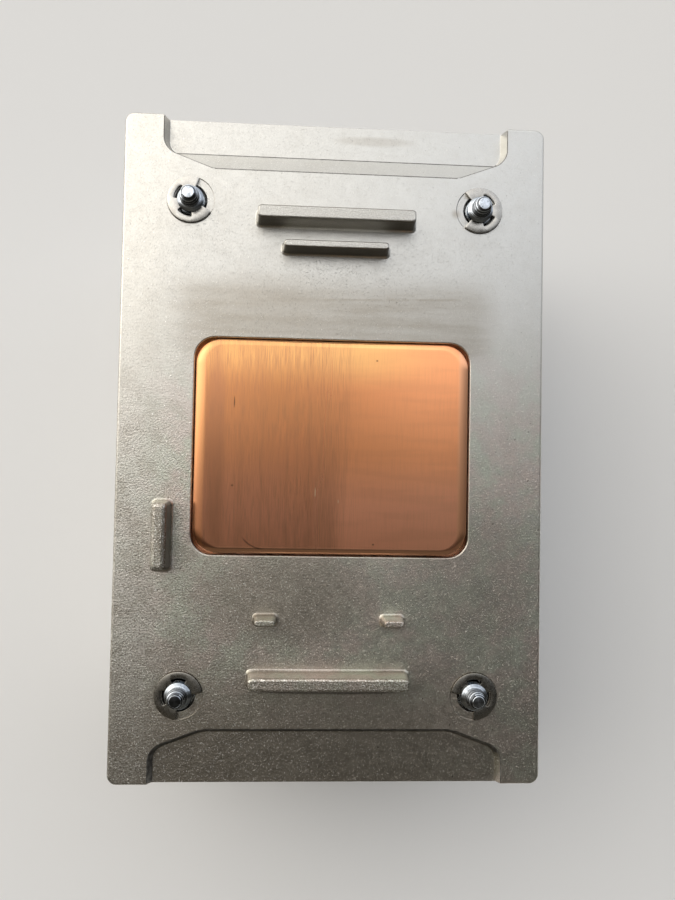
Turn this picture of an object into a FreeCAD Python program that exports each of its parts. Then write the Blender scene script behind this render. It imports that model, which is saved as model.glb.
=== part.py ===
import FreeCAD, Part
import math
import os

# Passive server CPU heatsink, lying on its fins with the contact side up.
# Units are millimetres. The origin is the centre of the copper contact face, which lies
# in the plane z = 0 and faces +Z. X runs across the plate, Y along it, and air flows along Y.

# ---------------------------------------------------------------- driving dimensions

# The whole heatsink, from the contact face down to the fins' free edge
overall_height = 64.0

# Cast base plate
plate_width = 81.7
plate_length = 127.3
plate_thickness = 5.0
plate_corner_radius = 1.8
plate_edge_chamfer = 0.4

# Copper contact slug, let into the plate from the back
slug_width = 52.2
slug_length = 40.6
slug_proud = 1.0
slug_corner_radius = 4.7
slug_rim_drop = 0.8
slug_side_rim = 1.9
slug_end_rim = 1.15
slug_shoulder_share = 0.25
slug_shoulder_drop = 0.3
slug_flange_overhang = 2.0
slug_flange_thickness = 1.8
window_gap = 0.3
window_corner_relief = 1.2
window_edge_chamfer = 0.25
pocket_clearance = 0.1

# End recesses in the plate's face: one ramped and deep, one flat and shallow
recess_half_width = 33.4
recess_start = 53.3
recess_straight_half = 23.7
recess_diagonal_angle = 20.3
recess_corner_radius = 3.3
recess_tab_radius = 0.6
ramped_recess_depth = 2.75
ramped_recess_bend_radius = 3.5
ramped_recess_ramp_run = 3.7
ramped_recess_wall_run = 0.65
flat_recess_depth = 1.5
flat_recess_bend_radius = 8.0
flat_recess_wall_run = 0.8

# Cast ribs and nubs: sizes are those of the flat top, the walls flare outward below it
rib_draft_run = 0.6
rib_foot_flare = 0.3
rib_foot_height = 0.4
rib_top_chamfer = 0.25
rib_corner_chamfer = 0.3
long_rib_length = 29.3
long_rib_width = 1.85
long_rib_height = 4.8
long_rib_offset = 43.9
short_rib_length = 19.3
short_rib_width = 0.85
short_rib_height = 4.3
short_rib_offset = 38.15
side_rib_length = 11.9
side_rib_width = 2.35
side_rib_height = 4.8
side_rib_x = -31.8
side_rib_y = -17.1
nub_length = 3.2
nub_width = 0.65
nub_height = 4.3
nub_spacing = 24.1
nub_y = -32.75

# Captive spring screws, in the bolt pattern of the socket's hold-down studs
screw_spacing_x = 56.0
screw_spacing_y = 94.0
screw_hole_diameter = 6.2
spotface_diameter = 9.3
spotface_depth = 0.2
shank_diameter = 5.4
head_diameter = 9.4
head_thickness = 3.2
collar_diameter = 5.1
collar_length = 0.6
thread_diameter = 4.0
thread_length = 2.4
screw_end_diameter = 2.4
screw_end_length = 0.8
drive_slot_width = 1.3
drive_slot_span = 5.6
drive_slot_foot_span = 2.6
drive_depth = 2.0

# Retaining rings
ring_diameter = 8.9
ring_thickness = 0.7
ring_notch_diameter = 6.5
ring_grip_clearance = 0.1
ring_axial_clearance = 0.05
ring_groove_diameter = 3.6
ring_mouth_half_angle = 49.0
ring_arm_end_angle = 104.0
ring_back_prong_angle = 158.0

# Each ring has turned to its own angle: the direction of its mouth, counterclockwise from +X
ring_mouth_directions = [20.0, 180.0, -42.0, 220.0]

# Springs between the plate's back and the screw heads
spring_length = 11.0
spring_diameter = 8.6
spring_wire = 1.0
spring_turns = 4
spring_steps_per_turn = 8
spring_wire_sides = 6

# Flattened heat pipes, soldered into grooves across the plate's and the slug's back
pipe_count = 4
pipe_spacing = 10.0
pipe_width = 7.7
pipe_height = 3.0
pipe_set_in = 13.65
pipe_side_chamfer = 0.9
pipe_groove_clearance = 0.05
pipe_groove_end_clearance = 0.5

# Zipper-fin stack
fin_count = 33
fin_pitch = 2.35
fin_thickness = 0.4
fin_set_in = 7.65
fin_gap = 0.05
fin_bend_chamfer = 0.25
fin_alley_clearance = 0.5
fin_alley_end_clearance = 1.75
lock_width = 5.0
lock_reach = 0.6
lock_clearance = 0.12
lock_end_margin = 4.5

# ---------------------------------------------------------------- levels and places

face_z = -slug_proud
back_z = face_z - plate_thickness
free_edge_z = -overall_height
ring_seat_z = face_z - spotface_depth
ring_top_z = ring_seat_z + ring_thickness
head_seat_z = back_z - spring_length
head_end_z = head_seat_z - head_thickness

pipe_length = plate_length - 2 * pipe_set_in
fin_length = plate_length - 2 * fin_set_in

screw_places = [
    (-screw_spacing_x / 2, screw_spacing_y / 2),
    (screw_spacing_x / 2, screw_spacing_y / 2),
    (-screw_spacing_x / 2, -screw_spacing_y / 2),
    (screw_spacing_x / 2, -screw_spacing_y / 2),
]

through = 1.0
full_turn = 360.0
up = FreeCAD.Vector(0, 0, 1)


# ---------------------------------------------------------------- shared helpers

def point(x, y, z=0.0):
    return FreeCAD.Vector(x, y, z)


def rounded_wire(corners, radii):
    """A closed wire through the corners, each one rounded by a tangent arc of its radius."""
    count = len(corners)
    edges = []
    ends = []
    for i, corner in enumerate(corners):
        before = (corners[i - 1] - corner).normalize()
        after = (corners[(i + 1) % count] - corner).normalize()
        radius = radii[i]
        if radius <= 0:
            ends.append((corner, None, corner))
            continue
        half_angle = before.getAngle(after) / 2
        reach = radius / math.tan(half_angle)
        middle = (before + after).normalize() * (radius / math.sin(half_angle) - radius)
        ends.append((corner + before * reach, corner + middle, corner + after * reach))
    for i, (start, middle, end) in enumerate(ends):
        if middle is not None:
            edges.append(Part.Arc(start, middle, end).toShape())
        following = ends[(i + 1) % count][0]
        edges.append(Part.LineSegment(end, following).toShape())
    return Part.Wire(edges)


def rounded_rectangle(size_x, size_y, radius, z, x=0.0, y=0.0):
    half_x = size_x / 2
    half_y = size_y / 2
    corners = [
        point(x - half_x, y - half_y, z),
        point(x + half_x, y - half_y, z),
        point(x + half_x, y + half_y, z),
        point(x - half_x, y + half_y, z),
    ]
    return rounded_wire(corners, [radius] * 4)


def chamfered_rectangle(size_x, size_y, chamfer, z, x=0.0, y=0.0):
    """A rectangular wire with its four corners cut off at 45 degrees."""
    outer_x = size_x / 2
    outer_y = size_y / 2
    inner_x = outer_x - chamfer
    inner_y = outer_y - chamfer
    places = [(outer_x, -inner_y), (outer_x, inner_y), (inner_x, outer_y), (-inner_x, outer_y),
              (-outer_x, inner_y), (-outer_x, -inner_y), (-inner_x, -outer_y), (inner_x, -outer_y)]
    corners = [point(x + dx, y + dy, z) for dx, dy in places]
    return Part.makePolygon(corners + corners[:1])


def stacked(sections):
    """A solid with flat sides through polygons that lie one above the other."""
    rings = [[v.Point for v in section.OrderedVertexes] for section in sections]
    faces = [Part.Face(sections[0]), Part.Face(sections[-1])]
    for lower, upper in zip(rings, rings[1:]):
        for i in range(len(lower)):
            j = (i + 1) % len(lower)
            side = [lower[i], lower[j], upper[j], upper[i]]
            faces.append(Part.Face(Part.makePolygon(side + side[:1])))
    return Part.Solid(Part.Shell(faces))


def extruded(wire, height):
    return Part.Face(wire).extrude(up * height)


def cylinder(diameter, low, high, x=0.0, y=0.0):
    return Part.makeCylinder(diameter / 2, high - low, point(x, y, low), up)


def edges_at(shape, z):
    """The edges that lie wholly in the plane at height z."""
    return [e for e in shape.Edges
            if abs(e.BoundBox.ZMin - z) < 1e-4 and abs(e.BoundBox.ZMax - z) < 1e-4]


# ---------------------------------------------------------------- base plate

def recess_wire(inset, z, bend_radius):
    """The outline of an end recess at the +Y end, drawn in by inset, running out past the end."""
    slope = math.radians(recess_diagonal_angle)
    half = recess_half_width - inset
    start = recess_start + inset
    straight = recess_straight_half - inset * math.tan(slope / 2)
    bend_y = start + (half - straight) * math.tan(slope)
    end_y = plate_length / 2 + inset
    outer_half = half + 2 * recess_tab_radius
    outer_y = end_y + 2 * recess_tab_radius
    right = [
        (straight, start, bend_radius + inset),
        (half, bend_y, recess_corner_radius - inset),
        (half, end_y, recess_tab_radius + inset),
        (outer_half, end_y, 0.0),
        (outer_half, outer_y, 0.0),
    ]
    left = [(-x, y, r) for x, y, r in reversed(right)]
    outline = right + left
    return rounded_wire([point(x, y, z) for x, y, r in outline], [r for x, y, r in outline])


def recess_cutter(depth, wall_run, bend_radius):
    """The space of an end recess: its walls lean in by wall_run over its depth."""
    above = 1.0
    lean = wall_run / depth
    return Part.makeLoft([recess_wire(wall_run, face_z - depth, bend_radius),
                          recess_wire(-lean * above, face_z + above, bend_radius)], True, True)


def ramp_block():
    """The space above the ramp that leads down to the deep recess's floor."""
    reach = plate_length
    top = face_z + 2 * through
    profile = [
        point(-reach / 2, recess_start, face_z),
        point(-reach / 2, recess_start + ramped_recess_ramp_run, face_z - ramped_recess_depth),
        point(-reach / 2, reach, face_z - ramped_recess_depth),
        point(-reach / 2, reach, top),
        point(-reach / 2, recess_start, top),
    ]
    return Part.Face(Part.makePolygon(profile + profile[:1])).extrude(point(reach, 0, 0))


def rib(length_x, length_y, height, x, y):
    """A drafted rib that stands on the plate's face, with a flared foot and a broken top edge."""
    corner = min(rib_corner_chamfer, 0.4 * length_x, 0.4 * length_y)

    def section(grow, z):
        return chamfered_rectangle(length_x + 2 * grow, length_y + 2 * grow, corner + grow / 2, z, x, y)

    foot_lean = rib_draft_run * (1 - rib_foot_height / height)
    top_lean = min(rib_top_chamfer, rib_draft_run / 2)
    return stacked([
        section(foot_lean + rib_foot_flare, face_z - plate_thickness / 4),
        section(foot_lean + rib_foot_flare, face_z),
        section(foot_lean, face_z + rib_foot_height),
        section(top_lean, face_z + height - rib_top_chamfer),
        section(0.0, face_z + height),
    ])


def pipe_places():
    return [(i - (pipe_count - 1) / 2) * pipe_spacing for i in range(pipe_count)]


def flattened_section(x, y, width, low, high, corner):
    """A flattened tube's outline: a wide section whose four corners are cut off."""
    half = width / 2
    places = [(half - corner, low), (half, low + corner), (half, high - corner), (half - corner, high),
              (corner - half, high), (-half, high - corner), (-half, low + corner), (corner - half, low)]
    corners = [point(x + dx, y, z) for dx, z in places]
    return Part.makePolygon(corners + corners[:1])


def pipe_groove(x):
    """The groove for one heat pipe, open towards the plate's back."""
    length = pipe_length + 2 * pipe_groove_end_clearance
    width = pipe_width + 2 * pipe_groove_clearance
    low = back_z - pipe_height
    section = flattened_section(x, -length / 2, width, low, back_z + pipe_height, pipe_side_chamfer)
    return Part.Face(section).extrude(point(0, length, 0))


def pipe_grooves():
    return [pipe_groove(x) for x in pipe_places()]


def slug_window():
    """The opening that the slug stands in, with a broken edge at the plate's face."""
    width = slug_width + 2 * window_gap
    length = slug_length + 2 * window_gap
    radius = slug_corner_radius + window_gap - window_corner_relief
    hole = extruded(rounded_rectangle(width, length, radius, back_z - through),
                    plate_thickness + 2 * through)
    edge = Part.makeLoft([
        rounded_rectangle(width, length, radius, face_z - window_edge_chamfer),
        rounded_rectangle(width + 4 * window_edge_chamfer, length + 4 * window_edge_chamfer,
                          radius + 2 * window_edge_chamfer, face_z + window_edge_chamfer),
    ], True, True)
    return hole.fuse(edge)


def flange_pocket():
    """The counterbore in the plate's back that the slug's flange seats in."""
    grow = 2 * (slug_flange_overhang + pocket_clearance)
    radius = slug_corner_radius + slug_flange_overhang + pocket_clearance
    return extruded(rounded_rectangle(slug_width + grow, slug_length + grow, radius,
                                      back_z - through), slug_flange_thickness + through)


def screw_hole(x, y):
    hole = cylinder(screw_hole_diameter, back_z - through, face_z + through, x, y)
    return hole.fuse(cylinder(spotface_diameter, ring_seat_z, face_z + through, x, y))


def plate_ribs():
    return [
        rib(long_rib_length, long_rib_width, long_rib_height, 0, long_rib_offset),
        rib(long_rib_length, long_rib_width, long_rib_height, 0, -long_rib_offset),
        rib(short_rib_length, short_rib_width, short_rib_height, 0, short_rib_offset),
        rib(side_rib_width, side_rib_length, side_rib_height, side_rib_x, side_rib_y),
        rib(nub_length, nub_width, nub_height, -nub_spacing / 2, nub_y),
        rib(nub_length, nub_width, nub_height, nub_spacing / 2, nub_y),
    ]


def base_plate():
    plate = extruded(rounded_rectangle(plate_width, plate_length, plate_corner_radius, back_z),
                     plate_thickness)
    outer_edges = edges_at(plate, face_z) + edges_at(plate, back_z)
    plate = plate.makeChamfer(plate_edge_chamfer, outer_edges)
    ramped = recess_cutter(ramped_recess_depth, ramped_recess_wall_run, ramped_recess_bend_radius)
    ramped = ramped.common(ramp_block())
    flat = recess_cutter(flat_recess_depth, flat_recess_wall_run, flat_recess_bend_radius)
    flat.rotate(point(0, 0), up, 180)
    plate = plate.cut([ramped, flat])
    plate = plate.fuse(plate_ribs())
    holes = [screw_hole(x, y) for x, y in screw_places]
    return plate.cut([slug_window(), flange_pocket()] + pipe_grooves() + holes)


# ---------------------------------------------------------------- slug and heat pipes

def slug_rim():
    """The slug's top, which rolls off to its sides in a steep slope and then a shallow one."""
    def outline(share, drop):
        return rounded_rectangle(slug_width - 2 * slug_side_rim * share,
                                 slug_length - 2 * slug_end_rim * share,
                                 slug_corner_radius - slug_end_rim * share, -drop)
    foot = outline(0.0, slug_rim_drop)
    shoulder = outline(slug_shoulder_share, slug_shoulder_drop)
    steep = Part.makeLoft([foot, shoulder], True, True)
    shallow = Part.makeLoft([shoulder, outline(1.0, 0.0)], True, True)
    return steep.fuse(shallow)


def contact_slug():
    body = extruded(rounded_rectangle(slug_width, slug_length, slug_corner_radius, back_z),
                    -slug_rim_drop - back_z).fuse(slug_rim())
    flange_wire = rounded_rectangle(slug_width + 2 * slug_flange_overhang,
                                    slug_length + 2 * slug_flange_overhang,
                                    slug_corner_radius + slug_flange_overhang, back_z)
    body = body.fuse(extruded(flange_wire, slug_flange_thickness))
    return body.cut(pipe_grooves())


def heat_pipe(x):
    """A flattened tube that fills its groove and lies flush with the plate's back."""
    section = flattened_section(x, -pipe_length / 2, pipe_width, back_z, back_z + pipe_height,
                                pipe_side_chamfer)
    return Part.Face(section).extrude(point(0, pipe_length, 0))


# ---------------------------------------------------------------- screws, rings and springs

def drive_recess():
    """A cross recess whose four wings slope in towards its foot."""
    mouth = head_end_z - through
    foot = head_end_z + drive_depth
    slope = (drive_slot_span - drive_slot_foot_span) / 2 / drive_depth
    half_mouth = drive_slot_span / 2 + slope * through
    half_foot = drive_slot_foot_span / 2
    half_width = drive_slot_width / 2
    profile = [
        point(-half_mouth, -half_width, mouth),
        point(half_mouth, -half_width, mouth),
        point(half_foot, -half_width, foot),
        point(-half_foot, -half_width, foot),
    ]
    wing = Part.Face(Part.makePolygon(profile + profile[:1])).extrude(point(0, drive_slot_width, 0))
    crossing = wing.copy()
    crossing.rotate(point(0, 0), up, 90)
    return wing.fuse(crossing)


def spring_screw():
    """One shoulder screw on the Z axis: head, shank, ring groove, collar and threaded end."""
    groove_low = ring_seat_z - ring_axial_clearance
    groove_high = ring_top_z + ring_axial_clearance
    collar_high = groove_high + collar_length
    thread_high = collar_high + thread_length
    end_z = thread_high + screw_end_length
    profile = [
        point(0, 0, head_end_z),
        point(head_diameter / 2, 0, head_end_z),
        point(head_diameter / 2, 0, head_seat_z),
        point(shank_diameter / 2, 0, head_seat_z),
        point(shank_diameter / 2, 0, groove_low),
        point(ring_groove_diameter / 2, 0, groove_low),
        point(ring_groove_diameter / 2, 0, groove_high),
        point(collar_diameter / 2, 0, groove_high),
        point(collar_diameter / 2, 0, collar_high),
        point(thread_diameter / 2, 0, collar_high),
        point(thread_diameter / 2, 0, thread_high),
        point(screw_end_diameter / 2, 0, end_z),
        point(0, 0, end_z),
    ]
    screw = Part.Face(Part.makePolygon(profile + profile[:1])).revolve(point(0, 0), up, full_turn)
    return screw.cut(drive_recess())


def ring_sector(inner, outer, start, end):
    """A flat ring sector between two diameters, from one angle to another, in degrees."""
    def at(diameter, angle):
        turn = math.radians(angle)
        return point(diameter / 2 * math.cos(turn), diameter / 2 * math.sin(turn), ring_seat_z)
    middle = (start + end) / 2
    edges = [
        Part.Arc(at(outer, start), at(outer, middle), at(outer, end)).toShape(),
        Part.LineSegment(at(outer, end), at(inner, end)).toShape(),
        Part.Arc(at(inner, end), at(inner, middle), at(inner, start)).toShape(),
        Part.LineSegment(at(inner, start), at(outer, start)).toShape(),
    ]
    return extruded(Part.Wire(edges), ring_thickness)


def retaining_ring():
    """An E-shaped ring with its mouth towards +X: two arm prongs and one back prong grip the groove."""
    grip = ring_groove_diameter + 2 * ring_grip_clearance
    root = ring_notch_diameter + ring_thickness
    mouth = ring_mouth_half_angle
    band = ring_sector(ring_notch_diameter, ring_diameter, mouth, full_turn - mouth)
    prongs = [
        ring_sector(grip, root, mouth, ring_arm_end_angle),
        ring_sector(grip, root, ring_back_prong_angle, full_turn - ring_back_prong_angle),
        ring_sector(grip, root, -ring_arm_end_angle, -mouth),
    ]
    return band.fuse(prongs).removeSplitter()


def coil_spring():
    """A compression spring with ground ends, round the shank from the plate's back to the head."""
    pitch = spring_length / spring_turns
    radius = (spring_diameter - spring_wire) / 2
    low = head_seat_z - pitch / 2
    steps = (spring_turns + 1) * spring_steps_per_turn
    path = []
    for step in range(steps + 1):
        turn = 2 * math.pi * step / spring_steps_per_turn
        path.append(point(radius * math.cos(turn), radius * math.sin(turn),
                          low + pitch * step / spring_steps_per_turn))
    section = []
    for side in range(spring_wire_sides):
        turn = 2 * math.pi * side / spring_wire_sides
        section.append(path[0] + point(spring_wire / 2 * math.cos(turn), 0,
                                       spring_wire / 2 * math.sin(turn)))
    profile = Part.makePolygon(section + section[:1])
    right_corner = 1
    coil = Part.makePolygon(path).makePipeShell([profile], True, False, right_corner)
    return coil.common(cylinder(spring_diameter + 2 * through, head_seat_z, back_z))


# ---------------------------------------------------------------- fin stack

def fin_run(index):
    """How long a fin is along Y: one that would stand in a screw head's way stops short of it."""
    x = (index - fin_count / 2) * fin_pitch
    if is_beside_screw(x):
        return screw_spacing_y - head_diameter - 2 * fin_alley_end_clearance
    return fin_length


def lock_places():
    """Where the locks are along Y: near both ends of the shortest fin."""
    shortest = min(fin_run(index) for index in range(fin_count))
    reach = shortest / 2 - lock_end_margin
    return [-reach, reach]


def fin_profile(x):
    """The C section of one fin: a web with a flange at the plate and one at the free edge."""
    flange_end = x + fin_pitch - fin_gap
    corners = [
        point(x + fin_bend_chamfer, 0, back_z),
        point(flange_end, 0, back_z),
        point(flange_end, 0, back_z - fin_thickness),
        point(x + fin_thickness, 0, back_z - fin_thickness),
        point(x + fin_thickness, 0, free_edge_z + fin_thickness),
        point(flange_end, 0, free_edge_z + fin_thickness),
        point(flange_end, 0, free_edge_z),
        point(x + fin_bend_chamfer, 0, free_edge_z),
        point(x, 0, free_edge_z + fin_bend_chamfer),
        point(x, 0, back_z - fin_bend_chamfer),
    ]
    return Part.makePolygon(corners + corners[:1])


def lock_boxes(x, reach, width):
    """Boxes in the free-edge flanges that reach across the joint before the fin at x."""
    return [Part.makeBox(reach + fin_thickness, width, fin_thickness,
                         point(x - reach, y - width / 2, free_edge_z)) for y in lock_places()]


def is_beside_screw(x):
    """Whether a fin whose cell starts at x would stand in a screw head's way."""
    reach = head_diameter / 2 + fin_alley_clearance
    axis = screw_spacing_x / 2
    right = x < axis + reach and x + fin_pitch > axis - reach
    left = x < -axis + reach and x + fin_pitch > -axis - reach
    return right or left


def fin(index):
    x = (index - fin_count / 2) * fin_pitch
    length = fin_run(index)
    body = Part.Face(fin_profile(x)).extrude(point(0, length, 0))
    body.translate(point(0, -length / 2, 0))
    if index > 0:
        body = body.fuse(lock_boxes(x, lock_reach, lock_width)).removeSplitter()
    if index < fin_count - 1:
        body = body.cut(lock_boxes(x + fin_pitch, lock_reach + lock_clearance,
                                   lock_width + 2 * lock_clearance))
    return body


# ---------------------------------------------------------------- all pieces

def build():
    pieces = {"base_plate": base_plate(), "contact_slug": contact_slug()}
    for i, x in enumerate(pipe_places()):
        pieces[f"heat_pipe_{i + 1}"] = heat_pipe(x)
    for i in range(fin_count):
        pieces[f"fin_{i + 1:02d}"] = fin(i)
    for i, (x, y) in enumerate(screw_places):
        ring = retaining_ring()
        ring.rotate(point(0, 0), up, ring_mouth_directions[i])
        for name, piece in (("screw", spring_screw()), ("spring", coil_spring()),
                            ("retaining_ring", ring)):
            piece.translate(point(x, y))
            pieces[f"{name}_{i + 1}"] = piece
    return pieces


os.makedirs("parts", exist_ok=True)
for name, piece in build().items():
    piece.exportStep(f"parts/{name}.step")
    print(f"{name}: {len(piece.Solids)} solid, {piece.Volume:.1f} mm3, valid {piece.isValid()}")
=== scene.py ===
# %% [markdown]
# # A passive server processor heatsink, contact side up
#
# The real object is a cast aluminium plate that carries a copper slug, four spring screws and
# a tall stack of thin aluminium fins. It lies here on its fins, so that the copper faces up.
# The imported solids give every place and size. This lesson adds what the solids leave out: the
# rounding of worn edges, threads, wound springs, and the finish of each metal.
#
# The first cell loads the imported model. It keeps the box of the solids.

# %% Load the imported model
import math

import bmesh
import bpy
from mathutils import Matrix, Vector


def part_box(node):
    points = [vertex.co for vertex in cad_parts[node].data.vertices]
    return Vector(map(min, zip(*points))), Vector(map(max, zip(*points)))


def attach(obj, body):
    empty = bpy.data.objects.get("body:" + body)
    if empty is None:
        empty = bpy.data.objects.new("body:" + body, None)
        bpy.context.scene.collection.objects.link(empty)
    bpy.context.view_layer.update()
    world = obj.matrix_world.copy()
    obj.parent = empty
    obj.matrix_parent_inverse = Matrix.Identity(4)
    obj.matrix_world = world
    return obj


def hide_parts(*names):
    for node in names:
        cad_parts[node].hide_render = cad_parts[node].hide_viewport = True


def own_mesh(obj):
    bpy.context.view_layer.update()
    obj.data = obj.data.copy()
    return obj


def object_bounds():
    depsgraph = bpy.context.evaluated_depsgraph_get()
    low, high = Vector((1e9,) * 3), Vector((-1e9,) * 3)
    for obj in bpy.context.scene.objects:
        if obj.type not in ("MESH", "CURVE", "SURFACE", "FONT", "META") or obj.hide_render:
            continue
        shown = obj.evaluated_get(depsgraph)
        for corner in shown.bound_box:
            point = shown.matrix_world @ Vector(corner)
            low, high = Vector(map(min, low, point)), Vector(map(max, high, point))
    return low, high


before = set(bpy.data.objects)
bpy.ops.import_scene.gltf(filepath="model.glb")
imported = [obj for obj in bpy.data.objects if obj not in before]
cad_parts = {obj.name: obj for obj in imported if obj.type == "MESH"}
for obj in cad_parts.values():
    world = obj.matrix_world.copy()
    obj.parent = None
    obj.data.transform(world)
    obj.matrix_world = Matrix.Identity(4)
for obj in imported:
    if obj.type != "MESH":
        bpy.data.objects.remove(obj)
solid_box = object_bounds()
scene = bpy.context.scene

# %% [markdown]
# ## The camera
#
# The heatsink is seen from close above, a little more than a hand's width over the copper, with
# a slightly wide lens. The camera leans by a few degrees, which turns the plate slightly in the
# view. Three directions give the lean: where the view's right, up and back point in the
# object's frame.

# %% The camera
def linked(name, data):
    """An object in the scene, for a mesh, a camera or a lamp."""
    made = bpy.data.objects.new(name, data)
    scene.collection.objects.link(made)
    return made


sensor = 36.0
lens = 31.12
camera_place = Vector((-0.00751, -0.00574, 0.14775))
view_right = Vector((0.99813, 0.01884, 0.05814))
view_up = Vector((-0.02089, 0.99918, 0.03470))
view_back = Vector((-0.05744, -0.03585, 0.99770))

camera_data = bpy.data.cameras.new("camera")
camera_data.sensor_width = sensor
camera_data.lens = lens
camera_data.clip_start = 0.005
camera = linked("camera", camera_data)
turn = Matrix((view_right, view_up, view_back)).transposed()
camera.matrix_world = Matrix.Translation(camera_place) @ turn.to_4x4()
scene.camera = camera
print("camera height over the copper, mm:", round(camera_place.z * 1000, 1))

# %% [markdown]
# ## Helpers for shader nodes
#
# Every finish below is a small graph of shader nodes. Each node needs the same three steps: add
# it, set its options, and either type a value into a socket or join a wire to it. One helper
# does all three. The others are short names for nodes that are used again and again, so that a
# finish reads as a list of what it is made of. All of them add to the graph begun last.

# %% Helpers for shader nodes
def add_node(kind, sockets=None, **options):
    """Adds a node to the graph; a value in sockets is typed in, and a socket is wired."""
    made = graph.nodes.new(kind)
    for name, value in options.items():
        setattr(made, name, value)
    for name, value in (sockets or {}).items():
        if isinstance(value, bpy.types.NodeSocket):
            graph.links.new(value, made.inputs[name])
        else:
            made.inputs[name].default_value = value
    return made


def math_node(operation, first, second=0.0):
    return add_node("ShaderNodeMath", {0: first, 1: second}, operation=operation).outputs[0]


def chained(operation, values):
    """Carries one operation through any number of values."""
    result = values[0]
    for value in values[1:]:
        result = math_node(operation, result, value)
    return result


def times(*values):
    return chained("MULTIPLY", values)


def greatest(*values):
    return chained("MAXIMUM", values)


def ramp(value, low, high, to_low=0.0, to_high=1.0):
    """Maps value from low..high to to_low..to_high, with soft ends."""
    sockets = {"Value": value, "From Min": low, "From Max": high, "To Min": to_low, "To Max": to_high}
    made = add_node("ShaderNodeMapRange", sockets, interpolation_type="SMOOTHSTEP")
    return made.outputs["Result"]


def mix_colour(amount, first, second, blend="MIX"):
    sockets = {0: amount, 6: first, 7: second}
    return add_node("ShaderNodeMix", sockets, data_type="RGBA", blend_type=blend).outputs[2]


def axes(vector):
    """The X, Y and Z of a vector."""
    split = add_node("ShaderNodeSeparateXYZ", {0: vector})
    return [split.outputs[axis] for axis in "XYZ"]


# %% [markdown]
# ## The room: floor, soft light and a plain surround
#
# The heatsink stands on a plain pale floor. The light is that of a room with one broad bright
# side: it comes from the far left, over the plate's far end. The near side is dim and a little
# warm, with a faint glow of its own. On brushed and cast metal such a light gives a long slow
# fall from bright to dark, because each point mirrors another part of the room. A sky that
# rises in soft steps does that with no lamp at all. A soft lamp is added on the bright side,
# so that the ribs throw a shadow.

# %% Floor
def mesh_from(bm, name):
    """A mesh from a bmesh, which is used up."""
    mesh = bpy.data.meshes.new(name)
    bm.to_mesh(mesh)
    bm.free()
    return mesh


floor_level = solid_box[0].z
floor_size = 4.0
floor_tone = (0.74, 0.73, 0.71, 1.0)
floor_roughness = 0.9

floor_bm = bmesh.new()
bmesh.ops.create_grid(floor_bm, x_segments=1, y_segments=1, size=floor_size)
bmesh.ops.translate(floor_bm, verts=floor_bm.verts, vec=(0, 0, floor_level))
floor_mesh = mesh_from(floor_bm, "floor")
floor = linked("floor", floor_mesh)

floor_finish = bpy.data.materials.new("floor_card")
floor_finish.use_nodes = True
floor_shader = floor_finish.node_tree.nodes["Principled BSDF"]
floor_shader.inputs["Base Color"].default_value = floor_tone
floor_shader.inputs["Roughness"].default_value = floor_roughness
floor_mesh.materials.append(floor_finish)
print("floor level, mm:", round(floor_level * 1000, 1))

# %% The surround and the lamp
bright_side = Vector((-0.1, 0.995, 0.0))
bright_level = 1.45
middle_level = 0.30
dim_level = 0.045
fill_level = 0.1
glow_level = 0.12
left_share = 1.55
right_share = 0.62
left_tint = (1.0, 0.965, 0.91, 1.0)
right_tint = (0.93, 0.98, 1.07, 1.0)
near_tint = (1.03, 0.94, 0.77, 1.0)

world = bpy.data.worlds.new("room")
scene.world = world
world.use_nodes = True
graph = world.node_tree
graph.nodes.clear()
direction = add_node("ShaderNodeTexCoord").outputs["Generated"]
to_right, _, upwards = axes(direction)
sockets = {0: direction, 1: bright_side}
towards = add_node("ShaderNodeVectorMath", sockets, operation="DOT_PRODUCT").outputs["Value"]
steep_rise = ramp(towards, 0.015, 0.21, 0.0, bright_level)
slow_rise = ramp(towards, -0.30, 0.06, dim_level, middle_level)
sideways = ramp(to_right, -0.5, 0.45, left_share, right_share)
far_light = times(math_node("ADD", steep_rise, slow_rise), sideways)
low_fill = ramp(upwards, 0.05, 0.45, fill_level, 0.0)
near_glow = ramp(towards, -0.32, -0.46, 0.0, glow_level)
level = greatest(far_light, low_fill, near_glow)
tint = mix_colour(ramp(to_right, -0.6, 0.6), left_tint, right_tint)
tint = mix_colour(ramp(towards, 0.1, -0.4), tint, near_tint, blend="MULTIPLY")
pale = add_node("ShaderNodeBackground", {"Color": tint, "Strength": level})
add_node("ShaderNodeOutputWorld", {"Surface": pale.outputs[0]})

lamp_data = bpy.data.lights.new("soft_lamp", "AREA")
lamp_data.shape = "SQUARE"
lamp_data.size = 0.35
lamp_data.energy = 0.5
lamp = linked("soft_lamp", lamp_data)
lamp.location = (-0.55, 0.30, 0.50)
lamp.rotation_mode = "QUATERNION"
lamp.rotation_quaternion = lamp.location.to_track_quat("Z", "Y")
print("bright side against dim side:", round(bright_level / dim_level, 1))

# %% [markdown]
# ## Patterns that the metals share
#
# A finish is mostly irregularity: grain, brushing, blotches and small marks. All of them are
# read from the object's own coordinates, in millimetres, so that they stay on the metal when it
# moves and keep their real size. Three patterns cover this heatsink. Noise gives grain and
# blotches, noise drawn out along one axis gives brushing, and a distance gives single marks.
#
# A colour is built up in coats. Each coat lays one tone over what is there, only where its
# masks say so: the masks are multiplied, so a coat shows where all of them agree.

# %% Pattern helpers
def new_finish(name, **constants):
    """Begins a metal's graph, with its constant settings typed in."""
    global graph
    material = bpy.data.materials.new(name)
    material.use_nodes = True
    graph = material.node_tree
    shader = graph.nodes["Principled BSDF"]
    shader.inputs["Metallic"].default_value = 1.0
    for socket, value in constants.items():
        shader.inputs[socket.replace("_", " ")].default_value = value
    return material, shader


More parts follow.
